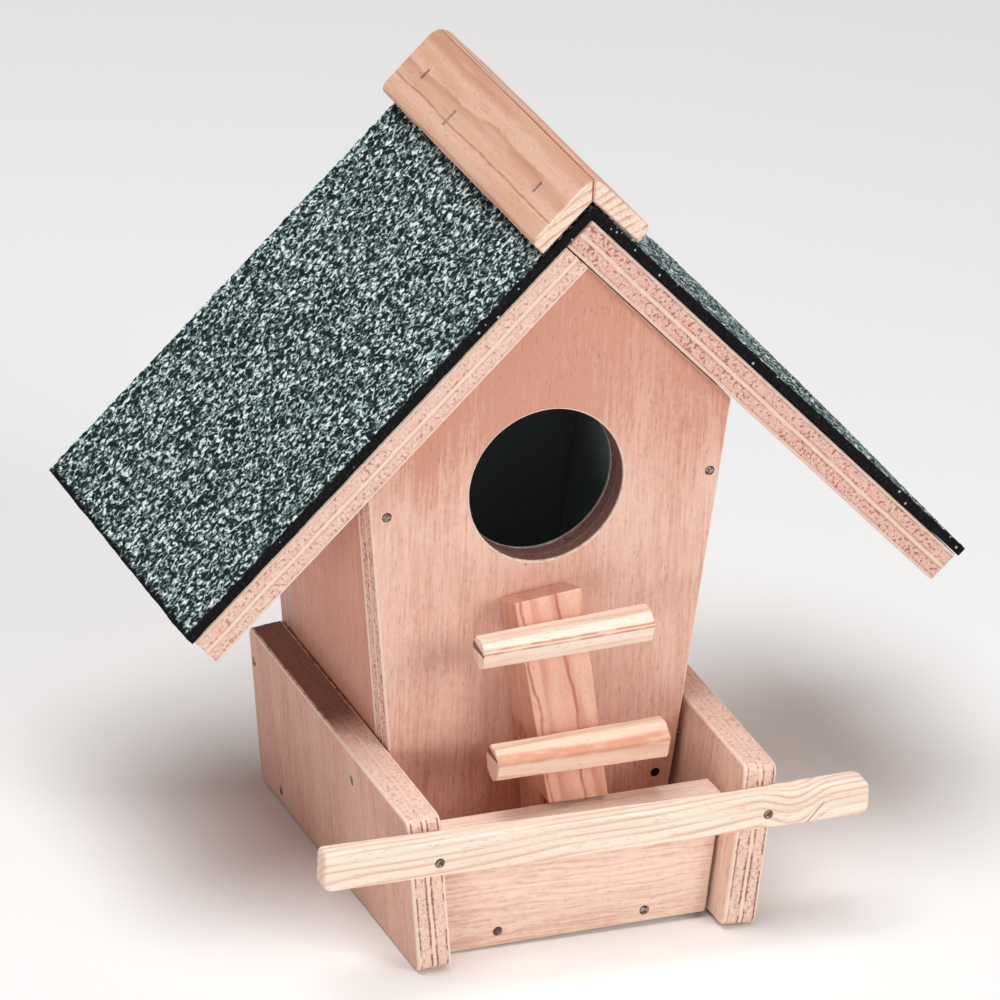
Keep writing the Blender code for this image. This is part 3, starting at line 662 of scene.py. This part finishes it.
def on_mitre(point):
    """Return whether a point lies on the mitre between the two ridge caps."""
    return abs(point.x - APEX.x) < MITRE_CLEAR and point.z > APEX.y


def wear_back(bm, axes, kept, relief):
    """Move the worn faces' points into the wood, square to the kept axis, by relief in millimetres."""
    bm.normal_update()
    moves = []
    for vert in bm.verts:
        worn = [face for face in vert.link_faces if abs(face.normal[kept]) < WHOLE_FACE]
        outward = sum((face.normal * face.calc_area() for face in worn), Vector())
        outward[kept] = 0.0
        point = axes @ vert.co
        if outward.length > 0.0 and not near_fastener(point) and not on_mitre(point):
            moves.append((vert, outward.normalized() * relief(vert.co / MM) * MM))
    for vert, move in moves:
        vert.co -= move


def show_copy(name, bm, axes):
    """Put a bmesh back in the object's frame as a piece that stands for the CAD node."""
    bm.transform(axes)
    mesh = bpy.data.meshes.new(name + "_worn")
    bm.to_mesh(mesh)
    bm.free()
    piece = bpy.data.objects.new(name + "_worn", mesh)
    bpy.context.collection.objects.link(piece)
    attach(piece, "root")
    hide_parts(name)
    return piece


def even_places(mesh, axes, axis, spacing):
    """Return places in millimetres along a local axis, spaced evenly over the piece."""
    far_end = max((axes.inverted() @ vertex.co)[axis] for vertex in mesh.vertices) / MM
    return np.arange(spacing, far_end, spacing)


def refill_faces(bm):
    """Fill a board's two broad faces again, inside the outlines that the wear has moved."""
    bm.normal_update()
    for level in (0.0, max(vert.co.z for vert in bm.verts)):
        flat = [face for face in bm.faces if all(abs(vert.co.z - level) < FLAT_NEAR for vert in face.verts)]
        bmesh.ops.delete(bm, geom=flat, context="FACES")
        rim = [edge for edge in bm.edges if edge.is_boundary]
        bmesh.ops.triangle_fill(bm, use_beauty=True, edges=rim)
    bmesh.ops.recalc_face_normals(bm, faces=bm.faces)


# ---- boards -------------------------------------------------------------------------------
NOWHERE = 1000.0                  # a place far outside any piece
SAW_STEP = 1.25                   # spacing of the points along a sawn edge
PLY_CUTS = (0.75, 1.2, 2.0, 2.8, 3.6, 4.05, 4.95, 5.4, 6.2, 7.0, 7.8, 8.25)
HOLE_ARRIS = 0.45 * MM
BOARDS = {
    # node: (grain direction, direction through the board towards the inside, the group's inputs)
    "front_panel": (Z, Y, {"Inside": 1.0, "Shade Above": 92.0, "Shade Below": 48.0, "Tone And Painted Light": 0.10}),
    "back_panel": (Z, -Y, {"Inside": 1.0, "Specks": 0.25, "Pale Edge": -0.30}),
    # The tone inputs of the left wall and the left tray side are painted shade; that of the right tray side
    # is painted light.
    "side_wall_left": (Z, X, {"Inside": 1.0, "Tone And Painted Light": -0.70}),
    "side_wall_right": (Z, -X, {"Inside": 1.0, "Tone And Painted Light": -0.12}),
    "roof_panel_left": (Vector((-1, 0, -1)), -Z, {"Glue": 0.25, "Pale Edge": 0.20}),
    "roof_panel_right": (Vector((1, 0, -1)), -Z, {"Glue": 0.35, "Pale Edge": -0.10}),
    "tray_side_left": (Z, X, {"Glue": 0.9, "Specks": 0.65, "Tone And Painted Light": -0.30, "Pale Edge": 0.35, "Painted Shadow": 74.0}),
    "tray_side_right": (Z, -X, {"Glue": 0.9, "Specks": 0.65, "Tone And Painted Light": 0.60, "Pale Edge": 0.35}),
    "tray_lip": (X, Y, {"Specks": 0.35, "Tone And Painted Light": 0.70, "Pale Edge": 0.80, "Rows": 0.42}),
    "floor_board": (X, -Z, {}),
}
BOARD_LOOKS = {"Glue": 0.2, "Specks": 0.8, "Shade Above": NOWHERE, "Shade Below": -NOWHERE,
               "Painted Shadow": -NOWHERE, "Hole Radius": -1.0}


def hole_circle(axes):
    """Return the entrance's centre and radius in the front panel's frame, in millimetres."""
    openings = frame["record"]["physics"]["openings"]
    low, high = next(row["box_m"] for row in openings if row["name"] == "entrance_hole")
    centre = axes.inverted() @ ((Vector(low) + Vector(high)) / 2.0)
    centre.z = 0.0
    rim = [(axes.inverted() @ vertex.co) for vertex in NODES["front_panel"].data.vertices]
    radius = min((Vector((point.x, point.y, 0.0)) - centre).length for point in rim)
    return centre / MM, radius / MM


def bevel_hole(bm, centre, radius):
    """Sand the entrance's front rim."""
    def on_rim(vert):
        across = (Vector((vert.co.x, vert.co.y, 0.0)) / MM - centre).length
        return vert.co.z < WELD and abs(across - radius) < 0.2
    rim = [edge for edge in bm.edges if all(on_rim(vert) for vert in edge.verts)]
    bmesh.ops.bevel(bm, geom=rim, offset=HOLE_ARRIS, segments=2, profile=0.5, affect="EDGES")


def torn_plies(seed):
    """Return the relief of a sawn edge: the crossbands tear back, the veneers stay nearly whole."""
    def relief(place):
        shifted = place + Vector(SEED_SHIFT) * seed
        depth_in = min(place.z, PLY_THICK - place.z)
        in_core = abs(place.z - PLY_THICK / 2.0) < CORE_VENEER / 2.0 + 0.05
        wavy = 0.04 + 0.04 * noise.noise(shifted * 0.15)
        if depth_in < FACE_VENEER + 0.05 or in_core:
            return wavy
        return wavy + 0.30 * max(0.0, noise.noise(shifted * 0.85) + 0.25)
    return relief


def dress_boards():
    """Show every plywood board with torn sawn edges and its own stretch of the plywood."""
    for seed, (name, (grain, inward, looks)) in enumerate(BOARDS.items(), 1):
        mesh = NODES[name].data
        through = widest_normal(mesh, inward)
        axes = piece_axes(mesh, grain, through)
        bm = clean_bmesh(mesh, axes)
        values = {"Seed": float(seed), **BOARD_LOOKS, **looks}
        if name == "front_panel":
            values["Hole"], values["Hole Radius"] = hole_circle(axes)
            bevel_hole(bm, values["Hole"], values["Hole Radius"])
        for axis in (0, 1):
            cut_faces(bm, 2, axis, even_places(mesh, axes, axis, SAW_STEP))
        cut_faces(bm, 2, 2, PLY_CUTS)
        wear_back(bm, axes, 2, torn_plies(seed))
        refill_faces(bm)
        piece = show_copy(name, bm, axes)
        wear(piece, surface_material(name, PLYWOOD, axes, values))


# ---- sticks -------------------------------------------------------------------------------
WHITTLE_STEP = 2.5                # spacing of the points along a stick
GRAIN_HINT = Vector((1.0, 0.5, 0.8))   # the sticks' grain starts at their left, front or lower end
CREAM_PINE = {"Early": (0.96, 0.83, 0.71), "Late": (0.74, 0.44, 0.31), "Stain": (0.91, 0.68, 0.55),
              "Line": (0.62, 0.24, 0.13), "End Grain": (0.88, 0.64, 0.52)}
WARM_PINE = {"Early": (0.93, 0.72, 0.57), "Late": (0.78, 0.43, 0.30), "Stain": (0.90, 0.60, 0.46),
             "Line": (0.72, 0.31, 0.19), "End Grain": (0.80, 0.52, 0.40)}
PINK_PINE = {"Early": (0.90, 0.55, 0.42), "Late": (0.68, 0.31, 0.22), "Stain": (0.80, 0.42, 0.31),
             "Line": (0.50, 0.17, 0.11), "End Grain": (0.80, 0.44, 0.33)}
TAN_PINE = {"Early": (0.86, 0.53, 0.39), "Late": (0.60, 0.29, 0.18), "Stain": (0.72, 0.38, 0.25),
            "Line": (0.50, 0.22, 0.13), "End Grain": (0.94, 0.76, 0.62)}
RUNG_THROUGH = Vector((0.0, -0.984, 0.176))   # square to the rungs' flat backs
STICK_LOOKS = {"Knot": NOWHERE, "Stripe": NOWHERE, "Split": NOWHERE}
STICKS = {
    # node: (through, slot, colours, the group's other inputs)
    "perch_bar": (Y, "pale_pine", CREAM_PINE, {
        "Ring Centre": (0.0, -34.0, 34.0), "Ring Width": 1.75, "Slope": 0.045, "Sway": 5.0, "Knot": 127.0}),
    "rung_upper": (RUNG_THROUGH, "pale_pine", CREAM_PINE, {
        "Ring Centre": (0.0, 3.0, -24.0), "Ring Width": 4.0, "Sway": 2.0,
        "Stripe": 5.8, "Stripe Gap": 0.5, "Stripe Width": 0.45, "Stripe Sway": 0.6,
        "Split": 7.2}),
    "rung_lower": (RUNG_THROUGH, "pale_pine", WARM_PINE, {
        "Ring Centre": (0.0, 3.0, -24.0), "Ring Width": 4.0, "Slope": 0.02, "Sway": 3.0,
        "Stripe": 7.0, "Stripe Gap": 0.4, "Stripe Width": 1.5, "Stripe Sway": 1.6,
        "Split": 9.2}),
    "ladder_post": (Y, "post_pine", PINK_PINE, {
        "Ring Centre": (0.0, 30.0, 14.0), "Ring Width": 7.5, "Slope": 0.03, "Sway": 13.0,
        "Stripe": 6.6, "Stripe Gap": 4.8, "Stripe Width": 0.55, "Stripe Sway": 5.0,
        "Side Shade": 0.55}),
    "ridge_cap_left": (Vector((-1, 0, 1)), "ridge_pine", TAN_PINE, {
        "Ring Centre": (0.0, 25.0, -54.0), "Ring Width": 2.3, "Sway": 2.4,
        "Stripe": 15.5, "Stripe Width": 0.42, "Stripe Sway": 1.6}),
    "ridge_cap_right": (Vector((1, 0, 1)), "ridge_pine", TAN_PINE, {
        "Ring Centre": (0.0, -56.0, -21.0), "Ring Width": 2.3, "Sway": 2.4}),
}


def whittled(seed):
    """Return the relief of a hand-finished stick: shallow waves along it."""
    def relief(place):
        stretched = Vector((place.x * 0.07, place.y * 0.35, place.z * 0.35)) + Vector(SEED_SHIFT) * seed
        return 0.14 + 0.14 * noise.noise(stretched)
    return relief


def dress_sticks():
    """Show every pine piece with a slightly uneven surface and its own growth rings."""
    for seed, (name, row) in enumerate(STICKS.items(), 1):
        through, slot, colours, looks = row
        mesh = NODES[name].data
        grain = long_axis(mesh, GRAIN_HINT)
        axes = piece_axes(mesh, grain, through.normalized())
        bm = clean_bmesh(mesh, axes)
        cut_faces(bm, 0, 0, even_places(mesh, axes, 0, WHITTLE_STEP))
        wear_back(bm, axes, 0, whittled(seed))
        piece = show_copy(name, bm, axes)
        values = {"Seed": float(seed), **STICK_LOOKS, **colours, **looks}
        wear(piece, surface_material(name, PINE, axes, values))


# ---- metal --------------------------------------------------------------------------------
# painted shade: these fasteners are nearly black, standing in for the dark slots round them
SLOT_SHADED = ("front_nail_4", "cap_staple_left_1", "cap_staple_left_3",
         "cap_staple_right_1", "cap_staple_right_3")


def dress_metal():
    """Give the nails and staples their steel, nearly black on a few of them as painted shade for the dark
    slots they sit in.
    """
    steel = steel_material("nail_steel", STEEL, STEEL_BROWN, metallic=0.7, specular=0.4)
    slot_steel = steel_material("slot_shade_steel", SLOT_SHADE, SLOT_SHADE_BROWN, metallic=0.0, specular=0.05)
    for name, obj in NODES.items():
        if "nail" in name or "staple" in name:
            wear(obj, slot_steel if name in SLOT_SHADED else steel)


# ---- felt sheet ---------------------------------------------------------------------------
FELT_THICK = 2.8 * MM
FELT_FOLD = 3.1 * MM              # radius of the outer face over the ridge
FELT_STEP = 0.64 * MM
FELT_LEVELS = 4                   # rows of faces down the cut edges
GRANULE = 1.5 * MM
GRANULE_RELIEF = 0.45 * MM
CUT_WAVE = 0.45 * MM              # how far the cut edges wander
CRUMBLE = 0.25 * MM
WAVE_LENGTH = 9.0 * MM
CRUMBLE_LENGTH = 0.9 * MM
CRUMBLE_DEPTH = 0.8 * MM
EDGE_SEEDS = (3.0, 7.0, 11.0, 17.0)   # left, right, front and rear
FELT_BOW = 1.9 * MM               # the right slope lifts a little beyond the ridge cap
FLAT_MARGIN = 30.0 * MM           # but lies flat along its front edge
BOW_START = 15.0 * MM


def felt_layout():
    """Return the felt's sharp outer apex (x, z), the lengths of its slopes and its two ends' y."""
    points = [vertex.co for vertex in NODES["roof_felt"].data.vertices]
    left = min(points, key=lambda point: point.x)
    right = max(points, key=lambda point: point.x)
    apex_x = (left.x + right.x + right.z - left.z) / 2.0
    apex = Vector((apex_x, left.z + apex_x - left.x))
    low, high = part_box("roof_felt")
    return apex, (apex.x - left.x) * math.sqrt(2.0), (right.x - apex.x) * math.sqrt(2.0), low.y, high.y


APEX, LEFT_RUN, RIGHT_RUN, FELT_FRONT, FELT_REAR = felt_layout()


def over_fold(s, deep):
    """Return (x, z) at s along the outer face from the ridge, right positive, and deep below it."""
    bend = max(-1.0, min(1.0, s / FELT_FOLD)) * math.pi / 4.0
    out = Vector((math.sin(bend), math.cos(bend)))
    down = Vector((math.cos(bend), -math.sin(bend)))
    centre = APEX - Vector((0.0, FELT_FOLD * math.sqrt(2.0)))
    return centre + out * (FELT_FOLD - deep) + down * (s - max(-FELT_FOLD, min(FELT_FOLD, s)))


def cut_wander(place, deep, seed):
    """Return how far a cut edge stands back from the CAD sheet's, at a place along it."""
    wave = 0.5 + 0.5 * noise.noise(Vector((place / WAVE_LENGTH, seed, 0.0)))
    crumbled = Vector((place / CRUMBLE_LENGTH, deep / CRUMBLE_DEPTH, seed))
    crumble = 0.5 + 0.5 * noise.noise(crumbled)
    return CUT_WAVE * wave + CRUMBLE * crumble


def granule_relief(s, y):
    """Return how far the granules' surface lies below the CAD sheet's outer face."""
    distances, points = noise.voronoi(Vector((s, y, 0.0)) / GRANULE)
    height = noise.cell(points[0] * 5.3)
    return GRANULE_RELIEF * min(1.0, 0.55 * abs(height) + 0.9 * distances[0])


def felt_point(share_s, share_y, deep):
    """Return a point of the sheet: shares run from the left eave to the right and front to rear."""
    s = -LEFT_RUN + share_s * (LEFT_RUN + RIGHT_RUN)
    y = FELT_FRONT + share_y * (FELT_REAR - FELT_FRONT)
    left_seed, right_seed, front_seed, rear_seed = EDGE_SEEDS
    left_back, right_back = cut_wander(y, deep, left_seed), cut_wander(y, deep, right_seed)
    front_back, rear_back = cut_wander(s, deep, front_seed), cut_wander(s, deep, rear_seed)
    s += left_back * (1.0 - share_s) - right_back * share_s
    y += front_back * (1.0 - share_y) - rear_back * share_y
    lift = 0.0
    if s > BOW_START:
        lift = FELT_BOW * math.sin(math.pi * (s - BOW_START) / (RIGHT_RUN - BOW_START))
        lift *= min(1.0, (y - FELT_FRONT) / FLAT_MARGIN)
    relief = granule_relief(s, y) if deep == 0.0 else 0.0
    x, z = over_fold(s, deep - lift + relief)
    return x, y, z


def grid_quads(rows, columns):
    """Return the faces over a grid of points that are numbered row by row."""
    quads = []
    for row in range(rows):
        for column in range(columns):
            first = row * (columns + 1) + column
            quads.append((first, first + 1, first + columns + 2, first + columns + 1))
    return quads


def grid_outline(rows, columns):
    """Return the (row, column) places round a grid, each once and in order."""
    outline = [(row, 0) for row in range(rows)]
    outline += [(rows, column) for column in range(columns)]
    outline += [(row, columns) for row in range(rows, 0, -1)]
    outline += [(0, column) for column in range(columns, 0, -1)]
    return outline


def wall_quads(above, below):
    """Return the faces between two rings of points."""
    quads = []
    for index in range(len(above)):
        after = (index + 1) % len(above)
        quads.append((above[index], above[after], below[after], below[index]))
    return quads


def underside_strips(rows, columns, index_of):
    """Return the flat underside, one strip from front to rear for each row."""
    strips = []
    for row in range(rows):
        front = [index_of[row, 0], index_of[row + 1, 0]]
        rear = [index_of[row + 1, columns], index_of[row, columns]]
        right = [index_of[rows, column] for column in range(1, columns)] if row == rows - 1 else []
        left = [index_of[0, column] for column in range(columns - 1, 0, -1)] if row == 0 else []
        strips.append(tuple(front + right + rear + left))
    return strips


def felt_mesh():
    """Return the felt as a fine mesh: granules on its outer face, ragged cut edges, flat underside."""
    rows = round((LEFT_RUN + RIGHT_RUN) / FELT_STEP)
    columns = round((FELT_REAR - FELT_FRONT) / FELT_STEP)
    points = [felt_point(row / rows, column / columns, 0.0)
              for row in range(rows + 1) for column in range(columns + 1)]
    faces = grid_quads(rows, columns)
    outer = len(faces)
    outline = grid_outline(rows, columns)
    above = [row * (columns + 1) + column for row, column in outline]
    for level in range(1, FELT_LEVELS + 1):
        below = list(range(len(points), len(points) + len(outline)))
        deep = FELT_THICK * level / FELT_LEVELS
        points += [felt_point(row / rows, column / columns, deep) for row, column in outline]
        faces += wall_quads(above, below)
        above = below
    faces += underside_strips(rows, columns, dict(zip(outline, above)))
    mesh = bpy.data.meshes.new("felt_sheet")
    mesh.from_pydata(points, [], faces)
    mesh.polygons.foreach_set("material_index", [0] * outer + [1] * (len(faces) - outer))
    mesh.validate()
    return mesh


def add_felt():
    """Show the roofing felt as a sheet of its own, with a granule face and a bitumen edge."""
    mesh = felt_mesh()
    felt = bpy.data.objects.new("felt_sheet", mesh)
    bpy.context.collection.objects.link(felt)
    edges = {"Left": (APEX.x - LEFT_RUN / math.sqrt(2.0)) / MM, "Front": FELT_FRONT / MM,
             "Right": (APEX.x + RIGHT_RUN / math.sqrt(2.0)) / MM}
    for name, group, values in (("felt_granules", GRANULES, edges), ("felt_bitumen", BITUMEN_EDGE, {})):
        mesh.materials.append(surface_material(name, group, Matrix.Identity(4), values, specular=0.15))
    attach(felt, "root")
    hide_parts("roof_felt")


# ---- stage --------------------------------------------------------------------------------
def add_camera():
    """Place the camera by its angles."""
    sin_a, cos_a = math.sin(CAMERA_AZIMUTH), math.cos(CAMERA_AZIMUTH)
    sin_e, cos_e = math.sin(CAMERA_ELEVATION), math.cos(CAMERA_ELEVATION)
    forward = Vector((sin_a * cos_e, cos_a * cos_e, -sin_e))
    right = Vector((cos_a, -sin_a, 0.0))
    turn = Matrix((right, right.cross(forward), -forward)).transposed()
    data = bpy.data.cameras.new("camera")
    data.sensor_width = CAMERA_SENSOR
    data.lens = CAMERA_LENS
    data.shift_x, data.shift_y = CAMERA_SHIFT
    data.clip_end = 50.0
    camera = bpy.data.objects.new("camera", data)
    bpy.context.collection.objects.link(camera)
    roll = Matrix.Rotation(CAMERA_ROLL, 3, "Z")
    camera.matrix_world = Matrix.Translation(CAMERA_PLACE) @ (turn @ roll).to_4x4()
    bpy.context.scene.camera = camera


def add_floor():
    """A plain pale floor that fills the view."""
    bm = bmesh.new()
    bmesh.ops.create_circle(bm, cap_ends=True, segments=96, radius=FLOOR_RADIUS)
    mesh = bpy.data.meshes.new("floor")
    bm.to_mesh(mesh)
    bm.free()
    floor = bpy.data.objects.new("floor", mesh)
    floor.location.z = -FLOOR_DROP
    bpy.context.collection.objects.link(floor)
    material = bpy.data.materials.new("floor")
    material.use_nodes = True
    shader = material.node_tree.nodes["Principled BSDF"]
    shader.inputs["Base Color"].default_value = (*FLOOR_COLOUR, 1.0)
    shader.inputs["Roughness"].default_value = 0.9
    shader.inputs["Specular IOR Level"].default_value = 0.1
    mesh.materials.append(material)


def add_lights():
    """A large soft key from the front right, a softbox overhead, a low fill and a pale surround."""
    for name, (place, diameter, power, colour) in LIGHTS.items():
        data = bpy.data.lights.new(name, "AREA")
        data.shape = "DISK"
        data.size = diameter
        data.energy = power
        data.color = colour
        light = bpy.data.objects.new(name, data)
        bpy.context.collection.objects.link(light)
        light.location = place
        light.rotation_euler = (Vector(AIM) - light.location).to_track_quat("-Z", "Y").to_euler()
    world = bpy.data.worlds.new("studio")
    world.use_nodes = True
    background = world.node_tree.nodes["Background"]
    background.inputs["Color"].default_value = (*WORLD_COLOUR, 1.0)
    background.inputs["Strength"].default_value = WORLD_STRENGTH
    bpy.context.scene.world = world
    bpy.context.scene.view_settings.view_transform = "Standard"


dress_boards()
dress_sticks()
dress_metal()
add_felt()
add_camera()
add_floor()
add_lights()
